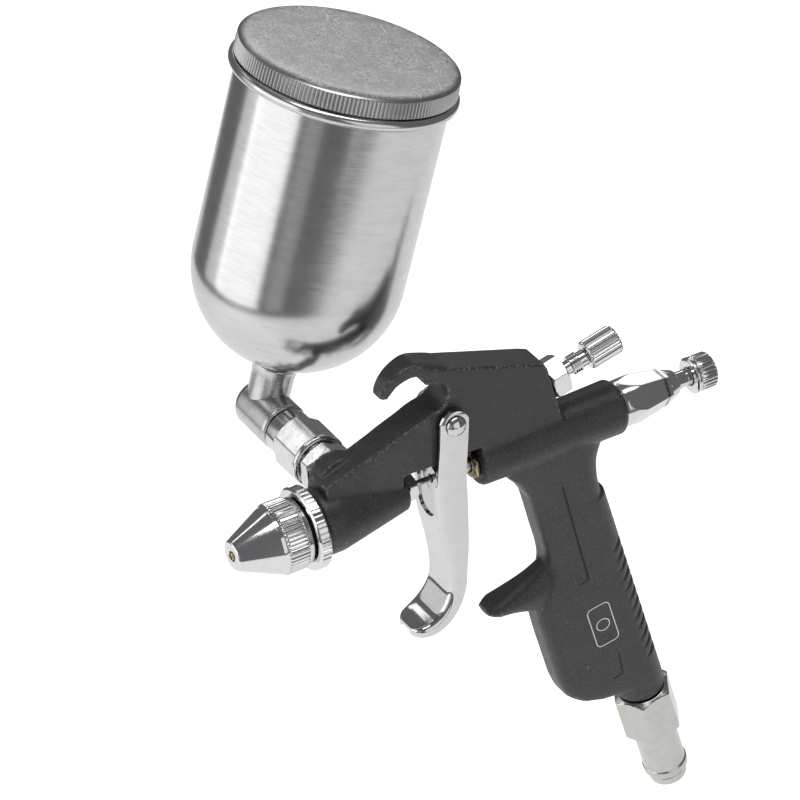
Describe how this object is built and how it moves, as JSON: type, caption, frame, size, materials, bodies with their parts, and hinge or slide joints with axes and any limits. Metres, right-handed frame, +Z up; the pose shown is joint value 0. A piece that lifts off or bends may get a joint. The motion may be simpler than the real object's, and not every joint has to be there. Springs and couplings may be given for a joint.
{
  "type": "airbrush gun",
  "caption": "Mini gravity-feed spray gun with a black pistol-grip body, chrome trigger and nozzle, two adjusting knobs, an air plug and a swivelling lidded aluminium side cup.",
  "frame": {"origin": "the hanging point: where a rod touches the underside of the hook on top of the gun", "axes": "+X runs rearward along the needle from nozzle to knob, +Y points to the cup side, +Z up towards the hook"},
  "size_m": [0.1574, 0.0871, 0.2685],
  "materials": {
    "black_paint": "fine-textured satin black coating",
    "chrome": "bright plating",
    "nickel": "satin nickel plating",
    "brass": "turned",
    "spring_steel": "drawn wire and ground rod",
    "cup_aluminium": "spun and brushed, lid top scuffed",
    "seal": "white sealing plastic",
    "rubber": "black rubber"
  },
  "bodies": {
    "gun": {"gun_body": "black_paint", "fluid_nozzle": "brass", "nozzle_seal": "seal", "needle_packing": "seal", "packing_nut": "chrome", "trigger_pin": "chrome", "pin_clip": "spring_steel", "valve_gland": "brass", "gland_packing": "seal", "valve_spring": "spring_steel", "needle_spring": "spring_steel", "spring_housing": "chrome", "air_control_nut": "chrome", "control_o_ring": "rubber", "cup_fitting": "chrome", "swivel_seal": "seal", "inlet_plug": "nickel", "inlet_seal": "seal"},
    "trigger": {"trigger": "chrome"},
    "air_valve": {"valve_sleeve": "brass", "valve_disc": "rubber"},
    "needle": {"fluid_needle": "spring_steel", "needle_chuck": "brass"},
    "needle_stop": {"needle_spindle": "chrome"},
    "needle_knob": {"needle_knob": "chrome"},
    "air_screw": {"air_control_stem": "chrome"},
    "air_knob": {"air_control_knob": "chrome"},
    "air_cap": {"air_cap": "chrome"},
    "lock_ring": {"lock_ring": "chrome"},
    "union_nut": {"union_nut": "chrome"},
    "cup": {"cup_elbow": "chrome", "cup_nut": "chrome", "cup_shell": "cup_aluminium", "rim_ring": "cup_aluminium"},
    "lid_seal": {"lid_gasket": "seal"},
    "lid": {"cup_lid": "cup_aluminium"}
  },
  "joints": [
    {"name": "trigger_pull", "type": "hinge", "parent": "gun", "child": "trigger", "pos_m": [0.0102, 0, -0.0174], "axis": [0, -1, 0], "range_deg": [0, 15], "stiffness_Nm_per_rad": 0.4, "springref_deg": -8.59},
    {"name": "air_valve_slide", "type": "slide", "parent": "gun", "child": "air_valve", "axis": [1, 0, 0], "range_m": [0, 0.0056], "deforming": ["valve_spring"]},
    {"name": "needle_slide", "type": "slide", "parent": "gun", "child": "needle", "axis": [1, 0, 0], "range_m": [0, 0.0042], "deforming": ["needle_spring"]},
    {"name": "needle_knob_travel", "type": "slide", "parent": "gun", "child": "needle_stop", "axis": [1, 0, 0], "range_m": [0, 0.0024]},
    {"name": "needle_knob_turn", "type": "hinge", "parent": "needle_stop", "child": "needle_knob", "pos_m": [0.0954, 0, -0.038], "axis": [1, 0, 0], "range_deg": [0, 1082]},
    {"name": "air_knob_travel", "type": "slide", "parent": "gun", "child": "air_screw", "axis": [0.9744, 0, 0.225], "range_m": [-0.0024, 0.0008]},
    {"name": "air_knob_turn", "type": "hinge", "parent": "air_screw", "child": "air_knob", "pos_m": [0.06254, 0, -0.01613], "axis": [0.9744, 0, 0.225], "range_deg": [-1082, 362]},
    {"name": "air_cap_turn", "type": "hinge", "parent": "gun", "child": "air_cap", "pos_m": [-0.0476, 0, -0.038], "axis": [-1, 0, 0], "range_deg": [0, 90]},
    {"name": "lock_ring_turn", "type": "hinge", "parent": "gun", "child": "lock_ring", "pos_m": [-0.0346, 0, -0.038], "axis": [-1, 0, 0], "range_deg": [0, 90]},
    {"name": "union_nut_turn", "type": "hinge", "parent": "gun", "child": "union_nut", "pos_m": [-0.0222, 0.02, -0.0281], "axis": [0, 1, 0], "range_deg": [0, 60]},
    {"name": "cup_swivel", "type": "hinge", "parent": "gun", "child": "cup", "pos_m": [-0.0222, 0.0427, -0.0281], "axis": [0, 1, 0], "range_deg": [-75, 45]},
    {"name": "lid_lift", "type": "slide", "parent": "cup", "child": "lid_seal", "axis": [0.309, 0, 0.9511], "range_m": [0, 0.004]},
    {"name": "lid_turn", "type": "hinge", "parent": "lid_seal", "child": "lid", "pos_m": [0.01086, 0.0427, 0.07366], "axis": [0.309, 0, 0.9511], "range_deg": [0, 722]}
  ],
  "couplings": [
    {"joint": "air_valve_slide", "follows": "trigger_pull", "m_per_rad": 0.0206},
    {"joint": "needle_slide", "follows": "trigger_pull", "m_per_rad": 0.0153},
    {"joint": "needle_knob_turn", "follows": "needle_knob_travel", "rad_per_m": 7854},
    {"joint": "air_knob_turn", "follows": "air_knob_travel", "rad_per_m": 7854},
    {"joint": "lid_turn", "follows": "lid_lift", "rad_per_m": 3141.6}
  ]
}
